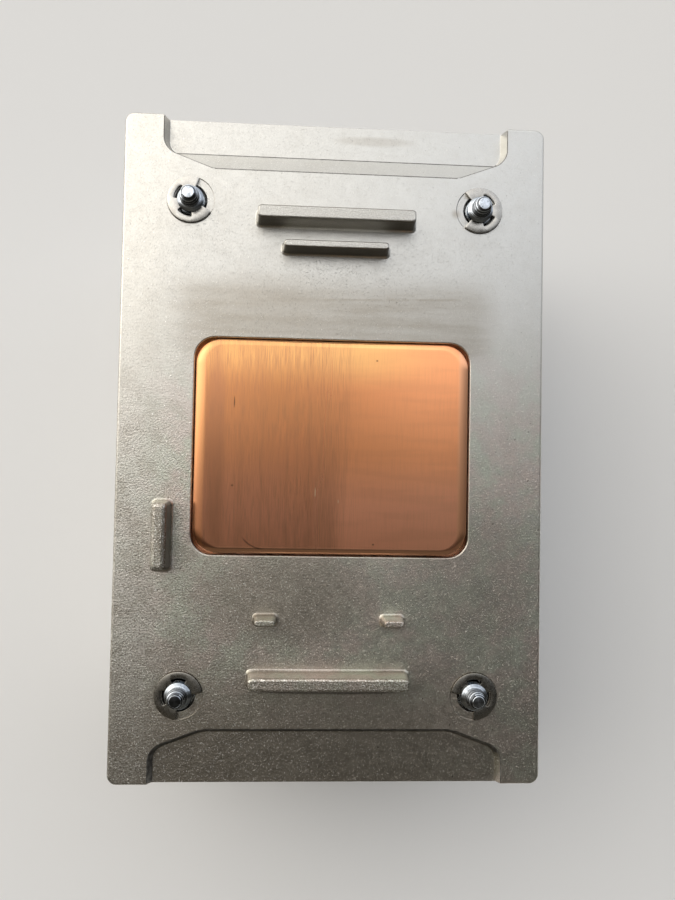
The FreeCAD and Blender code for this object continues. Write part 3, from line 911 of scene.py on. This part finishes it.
# %% [markdown]
# ## The base plate
#
# The plate carries everything, and it is what is seen most, so it is built anew. Its solid has
# short straight runs in place of its curves, and a light that skims the surface would show
# them. It could be drawn face by face, but the real plate is easier to follow: a die casts a
# slab with ribs, and tools then cut a window and holes. So each form is a closed shape of its
# own, and Booleans add or cut it.
#
# The two ends have recesses with slanted shoulders. Half of the outline is typed as a few
# corners with their radii, and mirrored. Each corner is rounded while the outline is still
# flat, which is the easiest moment. The outline is then pulled up past the face, and its
# underside is inset, which gives the leaning walls that let a casting leave its die. The deep
# recess begins with a ramp, so one slanting cut takes the underside off its cutter there.

# %% Recess cutters
plate_low, plate_high = in_mm(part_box("base_plate"))
face_level = -1.0
plate_end = plate_high.y
recess_start = 53.3
deep_depth = 2.75
flat_depth = 1.5
ramp_run = 3.7
recess_overshoot = 2.0


def recess_corners(bend):
    """Half the outline as (x, y, radius); bend is where the straight turns into the slant."""
    return [(23.7, recess_start, bend), (33.4, 56.89, 3.3), (33.4, plate_end, 0.6),
            (35.2, plate_end, 0.0), (35.2, plate_end + recess_overshoot, 0.0)]


def corner_reach(before, at, after, radius):
    """How far along its edges a corner has to be cut back for an arc of that radius."""
    first = (Vector(before) - Vector(at)).normalized()
    second = (Vector(after) - Vector(at)).normalized()
    return radius / math.tan(first.angle(second) / 2)


def recess_outline(bm, bend):
    """The flat outline of a recess at the far end, with its corners rounded."""
    right = recess_corners(bend)
    corners = right + [(-x, y, radius) for x, y, radius in reversed(right)]
    points = [(x, y) for x, y, radius in corners]
    verts = [bm.verts.new((x, y, face_level)) for x, y in points]
    bm.faces.new(verts)
    for i, (x, y, radius) in enumerate(corners):
        if radius:
            reach = corner_reach(points[i - 1], points[i], points[(i + 1) % len(points)], radius)
            bevel(bm, [verts[i]], reach, 8, affect="VERTICES")


def recess_cutter(depth, wall_run, bend):
    """The space of a recess, from its floor to above the face; its walls lean in by wall_run."""
    bm = bmesh.new()
    recess_outline(bm, bend)
    pull_up(bm, recess_overshoot, use_keep_orig=True)
    under = min(bm.faces, key=lambda f: f.calc_center_median().z)
    bmesh.ops.inset_individual(bm, faces=[under], thickness=wall_run, depth=depth,
                               use_even_offset=True)
    return bm


deep_recess = recess_cutter(deep_depth, 0.65, 3.5)
ramp_slope = Vector((0, -deep_depth, -ramp_run)).normalized()
cut_beyond(deep_recess, (0, recess_start, face_level), ramp_slope)
flat_recess = recess_cutter(flat_depth, 0.8, 8.0)
turn_about(flat_recess, flat_recess.verts, 180)
print("recess faces:", len(deep_recess.faces), len(flat_recess.faces))

# %% [markdown]
# The ribs and nubs are cast with the plate. Each narrows upwards, has a small flare at its
# foot, and its top edge is worn round. The window is cut with corners that are tighter than the
# slug's, which leaves the dark corner gaps, and a wider pocket below takes the slug's flange.

# %% Ribs, window, pocket, holes and grooves
rib_sizes = [
    # size in X, size in Y, height, centre X, centre Y, radius of the worn edge
    (29.3, 1.85, 4.8, 0.0, 43.9, 0.35),
    (29.3, 1.85, 4.8, 0.0, -43.9, 0.45),
    (19.3, 0.85, 4.3, 0.0, 38.15, 0.3),
    (2.35, 11.9, 4.8, -31.8, -17.1, 0.9),
    (3.2, 0.65, 4.3, -12.05, -32.75, 0.25),
    (3.2, 0.65, 4.3, 12.05, -32.75, 0.25),
]
rib_corner = 0.85
worn_steps = 4
overshoot = 1.0
hole_radius = 3.1
seat_radius = 4.5
seat_level = face_level - 0.2
flange_thickness = 1.8


def cast_rib(size_x, size_y, height, x, y, worn):
    """A rib whose top edge is a quarter circle, taken in a few steps."""
    def at(grow, z):
        return (size_x + 2 * grow, size_y + 2 * grow, z)
    top = face_level + height
    levels = [at(0.85, face_level - 1.2), at(0.85, face_level), at(0.55, face_level + 0.4)]
    for step in range(worn_steps + 1):
        angle = math.radians(90 / worn_steps * step)
        levels.append(at(0.25 - worn + worn * math.cos(angle), top - worn + worn * math.sin(angle)))
    return tower(levels, corner=rib_corner, segments=4, centre=(x, y))


def screw_centre(number):
    """Where a screw's axis stands, in metres."""
    low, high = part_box(f"screw_{number}")
    return Vector(((low.x + high.x) / 2, (low.y + high.y) / 2, 0.0))


def drilled_hole(number):
    """A screw hole with a shallow wider seat for the ring, as one stepped round cutter."""
    low, high = plate_low.z - overshoot, face_level + overshoot
    outline = [(0.0, low), (hole_radius, low), (hole_radius, seat_level),
               (seat_radius, seat_level), (seat_radius, high), (0.0, high)]
    bm = bmesh.new()
    spun(bm, edge_chain(bm, outline), steps=64)
    weld(bm, 0.0001)
    face_outwards(bm)
    shift(bm, bm.verts, screw_centre(number) * 1000)
    return bm


def pipe_groove(number):
    """The space of a heat pipe, open below, for the plate's and the slug's backs."""
    low, high = in_mm(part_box(f"heat_pipe_{number}"))
    return block(high.x - low.x + 0.1, high.y - low.y + 1.0, low.z - overshoot, high.z,
                 centre=((low.x + high.x) / 2, 0.0))


def pipe_grooves():
    return [pipe_groove(number) for number in range(1, 5)]


pocket = block(56.4, 44.8, plate_low.z - overshoot, plate_low.z + flange_thickness, corner=6.8)
window = block(52.8, 41.2, plate_low.z - overshoot, face_level + overshoot, corner=3.8)
holes = [drilled_hole(number) for number in range(1, 5)]
ribs = [cast_rib(*sizes) for sizes in rib_sizes]
print("ribs and nubs:", len(ribs), "holes:", len(holes))

# %% [markdown]
# The slab is put together in the order of the real thing: cast first, then cut. Points that
# the Booleans left side by side are joined, so that the rounding has clean edges to work on.

# %% Slab and casting
plate_size = plate_high - plate_low
slab = block(plate_size.x, plate_size.y, plate_low.z, face_level, corner=1.8)
bevel(slab, [e for e in slab.edges if edge_rise(e) < 0.001], 0.5, 4)
plate_bm = combined(slab, [deep_recess, flat_recess], "DIFFERENCE")
plate_bm = combined(plate_bm, ribs, "UNION")
plate_bm = combined(plate_bm, [window, pocket] + pipe_grooves() + holes, "DIFFERENCE")
weld(plate_bm, 0.06)
bmesh.ops.dissolve_limit(plate_bm, angle_limit=math.radians(0.3), verts=plate_bm.verts,
                         edges=plate_bm.edges)
print("casting faces before rounding:", len(plate_bm.faces))

# %% [markdown]
# The window's upper lip has a wider rounding than the rest, so it comes first. Then all sharp edges
# are rounded in one go. The faces along the outline of the recesses and at the foot of the ramp get
# the second, darker finish, for dirt and painted shade, and the flat recess's walls get it as painted
# shade. A few limits pick them out.

# %% Edges and creases
edge_sharpness = 33
lip_rounding = 0.4
edge_rounding = 0.12


def is_window_lip(edge):
    """Whether a sharp edge is part of the upper outline of the slug's window."""
    return all(abs(v.co.x) < 26.6 and abs(v.co.y) < 20.8 and abs(v.co.z - face_level) < 0.01
               for v in edge.verts)


def is_crease(face):
    """Whether a face lies on a recess's outline, or along the foot of the ramp."""
    centre = face.calc_center_median()
    inside = abs(centre.x) < 34.2 and 53.1 < abs(centre.y) < 63.2
    on_outline = abs(centre.z - face_level) < 0.12
    on_ramp_foot = (abs(centre.y - recess_start - ramp_run) < 0.3
                    and abs(centre.z - face_level + deep_depth) < 0.12)
    return inside and (on_outline or on_ramp_foot)


def is_shaded_wall(face):
    """Whether a face is a wall of the flat recess, which gets painted shade."""
    centre = face.calc_center_median()
    in_recess = abs(centre.x) < 33.6 and -63.4 < centre.y < -53.0 and -2.4 < centre.z < -1.02
    return in_recess and face.normal.xy.length > 0.5 and face.normal.x > -0.8


window_lip = [e for e in sharp_edges(plate_bm, edge_sharpness) if is_window_lip(e)]
bevel(plate_bm, window_lip, lip_rounding, 3, loop_slide=True)
plate_bm.normal_update()
casting_edges = sharp_edges(plate_bm, edge_sharpness)
rounding = bevel(plate_bm, casting_edges, edge_rounding, 2, loop_slide=True)["faces"]
plate_bm.normal_update()
creases = [f for f in rounding if is_crease(f)]
walls = [f for f in plate_bm.faces if is_shaded_wall(f)]
# The creases get dirt and painted shade, the flat recess's walls painted shade.
for face in creases + walls:
    face.material_index = 1
print("lip edges:", len(window_lip), "edges rounded:", len(casting_edges),
      "crease faces:", len(creases), "grimy walls:", len(walls))
base_plate = finished(to_metres(plate_bm), "casting", cast_aluminium, "heatsink")
base_plate.data.materials.append(cast_crease)
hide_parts("base_plate")

# %% [markdown]
# ## The contact slug
#
# The slug is a copper block with large soft corners, and a flange below that holds it in the
# plate. Grinding has left its face flat, and its rim rolls off: a long shallow roll at the two
# sides, and a shorter one at the two ends. It is made from one box. The box is the flange; its
# top is inset and pulled up to make the block, and then inset a little more at every step of a
# quarter ellipse. The pipes lie in grooves in its back. The UV map is laid flat from above with
# U along X, so that the shader knows which way is across the grinding lines.

# %% Contact slug
slug_low, slug_high = in_mm(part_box("contact_slug"))
slug_size = slug_high - slug_low
flange_overhang = 2.0
flange_corner = 6.7
rim_drop = 0.8
side_rim = 1.9
end_rim = 1.15
rim_steps = 8
half_block = slug_size.x / 2 - flange_overhang

slug_bm = bmesh.new()
bmesh.ops.create_cube(slug_bm, size=1.0)
stretch(slug_bm, slug_bm.verts, (slug_size.x, slug_size.y, flange_thickness))
shift(slug_bm, slug_bm.verts, (0, 0, slug_low.z + flange_thickness / 2))
bevel(slug_bm, [e for e in slug_bm.edges if edge_rise(e) > 1.0], flange_corner, 12)
top_face = max(slug_bm.faces, key=lambda f: f.calc_center_median().z)
bmesh.ops.inset_individual(slug_bm, faces=[top_face], thickness=flange_overhang, use_even_offset=True)
top_face = bmesh.ops.extrude_discrete_faces(slug_bm, faces=[top_face])["faces"][0]
shift(slug_bm, top_face.verts, (0, 0, slug_size.z - flange_thickness - rim_drop))

for step in range(rim_steps):
    angles = [math.radians(90 * s / rim_steps) for s in (step, step + 1)]
    share = [1 - math.cos(angle) for angle in angles]
    rise = [rim_drop * math.sin(angle) for angle in angles]
    bmesh.ops.inset_individual(slug_bm, faces=[top_face], thickness=end_rim * (share[1] - share[0]),
                               depth=rise[1] - rise[0], use_even_offset=True)
    wide = half_block - side_rim * share[1]
    now = max(v.co.x for v in top_face.verts)
    stretch(slug_bm, top_face.verts, (wide / now, 1.0, 1.0))
slug_bm = to_metres(combined(slug_bm, pipe_grooves(), "DIFFERENCE"))
across = slug_bm.loops.layers.uv.new("across")
for face in slug_bm.faces:
    for loop in face.loops:
        loop[across].uv = loop.vert.co.xy * 10 + Vector((0.5, 0.5))
slug = finished(slug_bm, "copper_slug", copper_ground, "heatsink")
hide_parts("contact_slug")

# %% [markdown]
# ## The spring screws
#
# A captive screw has a wide head with a cross recess, a smooth shank that the spring slides
# on, a groove for the ring, a collar, and a short thread. Most of it is round, so half its
# outline is spun round the axis. The screw gets slimmer from the collar to its tip, so that it
# finds its hole.

# %% Screw outline
ring_low, ring_high = in_mm(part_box("retaining_ring_2"))
head_radius = (screw_high.x - screw_low.x) / 2
head_end = screw_low.z
head_seat = head_end + 3.2
groove_low = ring_low.z - 0.05
groove_high = ring_high.z + 0.05
collar_top = groove_high + 0.6
thread_root = 1.58
taper_start = collar_top + 0.5
taper = 0.22

screw_outline = [
    (0.0, head_end), (head_radius - 0.45, head_end), (head_radius - 0.15, head_end + 0.12),
    (head_radius, head_end + 0.45), (head_radius, head_seat - 0.25), (head_radius - 0.25, head_seat),
    (2.9, head_seat), (2.7, head_seat + 0.2), (2.7, groove_low - 0.15), (2.55, groove_low),
    (1.8, groove_low), (1.8, groove_high), (2.3, groove_high), (2.5, groove_high + 0.15),
    (2.5, collar_top - 0.35), (2.1, collar_top - 0.05), (1.75, collar_top),
    (thread_root, collar_top + 0.1), (thread_root, taper_start),
    (thread_root - taper * (screw_tip - 0.3 - taper_start), screw_tip - 0.3),
    (1.14, screw_tip - 0.1), (1.04, screw_tip - 0.01), (0.95, screw_tip), (0.0, screw_tip),
]
print("screw length, mm:", round(screw_tip - head_end, 2))

# %% [markdown]
# A thread is a ridge that climbs as it turns: the same spin, with a small lift at every step.
# Its points are then drawn in towards the tip as the screw's outline is. The recess is cut with
# two crossed wings that get narrower towards its foot.

# %% Screw body, thread and recess
thread_pitch = 0.7
thread_crest = 2.0
thread_foot = thread_root - 0.1
thread_start = collar_top + 0.12
thread_end = screw_tip - 0.66
steps_per_thread = 28
wing_size = (5.6, 1.3, 3.0)
wing_narrowing = 0.46
recess_middle = head_end + 0.5


def screw_body():
    bm = bmesh.new()
    spun(bm, edge_chain(bm, screw_outline))
    weld(bm, 0.0001)
    return bm


def thread_ridge():
    """The climbing ridge: a blunt wedge spun with a lift, and closed at both ends."""
    bm = bmesh.new()
    wedge = [(thread_foot, thread_start), (thread_foot, thread_start + 0.62),
             (thread_crest, thread_start + 0.37), (thread_crest, thread_start + 0.25)]
    chain = edge_chain(bm, wedge)
    chain.append(bm.edges.new((chain[3], chain[0])))
    steps = round((thread_end - thread_start) / thread_pitch * steps_per_thread)
    spun(bm, chain, steps=steps, degrees=360.0 * steps / steps_per_thread + 0.001,
         lift=thread_pitch / steps_per_thread)
    fill_open_edges(bm)
    for vert in bm.verts:
        narrower = taper * max(0.0, vert.co.z - taper_start) / vert.co.xy.length
        stretch(bm, [vert], (1 - narrower, 1 - narrower, 1.0))
    return bm


def recess_wings():
    bm = bmesh.new()
    for quarter in (0, 90):
        wing = bmesh.ops.create_cube(bm, size=1.0)["verts"]
        stretch(bm, wing, wing_size)
        inner = [v for v in wing if v.co.z > 0]
        stretch(bm, inner, (wing_narrowing, 1.0, 1.0))
        turn_about(bm, wing, quarter)
        shift(bm, wing, (0, 0, recess_middle))
    return bm


cut_body = combined(shrunk(screw_body()), [shrunk(recess_wings())], "DIFFERENCE", use_self=True)
cut_mesh = mesh_from(cut_body, "screw")
ridge_mesh = mesh_from(shrunk(thread_ridge()), "ridge")
print("screw faces:", len(cut_mesh.polygons), "thread faces:", len(ridge_mesh.polygons))

# %% [markdown]
# Each of the four screws has been turned by hand, so each thread starts somewhere else. The
# screw is copied to its axis with its own turn, and rides on its own body, so that it can be
# pushed and turned.

# %% Four screws
screw_turns = (35.0, 170.0, 250.0, 310.0)

for number, angle in enumerate(screw_turns, start=1):
    bm = bmesh.new()
    bm.from_mesh(cut_mesh)
    bm.from_mesh(ridge_mesh)
    place = Matrix.Translation(screw_centre(number)) @ Matrix.Rotation(math.radians(angle), 4, "Z")
    bmesh.ops.transform(bm, matrix=place, verts=bm.verts)
    piece = finished(bm, f"spring_screw_{number}", zinc_plated, f"screw_{number}")
    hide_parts(f"screw_{number}")

# %% [markdown]
# ## The retaining rings
#
# An E-shaped ring is a flat band with a wide mouth and three prongs that grip the groove. It
# is made flat, as it is punched: short edges are spun round the axis, sector by sector, and
# only a prong's sector reaches in to the groove. The sheet is then extruded to its thickness,
# its corners are rounded, and then all its sharp edges a little.

# %% Retaining rings
band_radius = (ring_high.y - ring_low.y) / 2
notch_radius = 3.25
grip_radius = 1.9
ring_thickness = ring_high.z - ring_low.z
ring_sectors = [(49.0, 104.0, True), (104.0, 158.0, False), (158.0, 202.0, True),
                (202.0, 256.0, False), (256.0, 311.0, True)]
ring_openings = (20.0, 180.0, -42.0, 220.0)
ring_sharpness = 50


def punched_ring(number, opening):
    """A punched ring in its place, with its mouth turned to an angle."""
    bm = bmesh.new()
    for start, end, prong in ring_sectors:
        radii = [grip_radius, notch_radius, band_radius] if prong else [notch_radius, band_radius]
        chain = edge_chain(bm, [(r, ring_low.z) for r in radii])
        turn_about(bm, only(bmesh.types.BMVert, chain), start)
        spun(bm, chain, steps=10, degrees=end - start)
    weld(bm, 0.001)
    face_outwards(bm)
    pull_up(bm, ring_thickness)
    bevel(bm, [e for e in sharp_edges(bm, ring_sharpness) if edge_rise(e) > 0.5], 0.22, 3)
    bevel(bm, sharp_edges(bm, ring_sharpness), 0.07, 2, loop_slide=True)
    turn_about(bm, bm.verts, opening)
    shift(bm, bm.verts, screw_centre(number) * 1000)
    return to_metres(bm)


for number, opening in enumerate(ring_openings, start=1):
    ring = finished(punched_ring(number, opening), f"e_ring_{number}", ring_steel,
                    f"ring_{number}")
    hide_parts(f"retaining_ring_{number}")

# %% [markdown]
# ## The springs
#
# A round wire wound round the shank, with both end turns ground flat. A small circle stands
# beside the axis and is spun with a lift, as the thread was. Two cuts make the ground ends.

# %% Springs
spring_low, spring_high = in_mm(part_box("spring_2"))
spring_length = spring_high.z - spring_low.z
wire_radius = 0.5
coil_radius = 3.8
coil_turns = 5
coil_pitch = spring_length / (coil_turns - 1)
steps_per_turn = 32


def wound_spring(number):
    bm = bmesh.new()
    wire = bmesh.ops.create_circle(bm, cap_ends=False, radius=wire_radius, segments=12)["verts"]
    turn_about(bm, wire, 90, axis="X")
    shift(bm, wire, (coil_radius, 0, spring_low.z - coil_pitch / 2))
    spun(bm, bm.verts[:] + bm.edges[:], steps=coil_turns * steps_per_turn, degrees=coil_turns * 360.0,
         lift=coil_pitch / steps_per_turn)
    cut_beyond(bm, (0, 0, spring_low.z), (0, 0, -1))
    cut_beyond(bm, (0, 0, spring_high.z), (0, 0, 1))
    shift(bm, bm.verts, screw_centre(number) * 1000)
    return to_metres(bm)


for number in range(1, 5):
    spring = finished(wound_spring(number), f"coil_{number}", spring_steel, "heatsink")
    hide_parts(f"spring_{number}")
    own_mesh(spring)

# %% [markdown]
# ## Fins and heat pipes
#
# The fins and the flattened pipes keep their solids, because their shapes are right: thin
# folded sheet with locks, and long flat tubes. They only get their metals.

# %% Fins and heat pipes
metals = {"fin_": fin_aluminium, "heat_pipe_": pipe_copper}
for name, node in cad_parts.items():
    for start, metal in metals.items():
        if name.startswith(start):
            node.data.materials.clear()
            node.data.materials.append(metal)
print("fins:", sum(name.startswith("fin_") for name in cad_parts))

# %% [markdown]
# ## Look settings
#
# The Standard view shows colours as they are written.

# %% Finish
scene.view_settings.view_transform = "Standard"
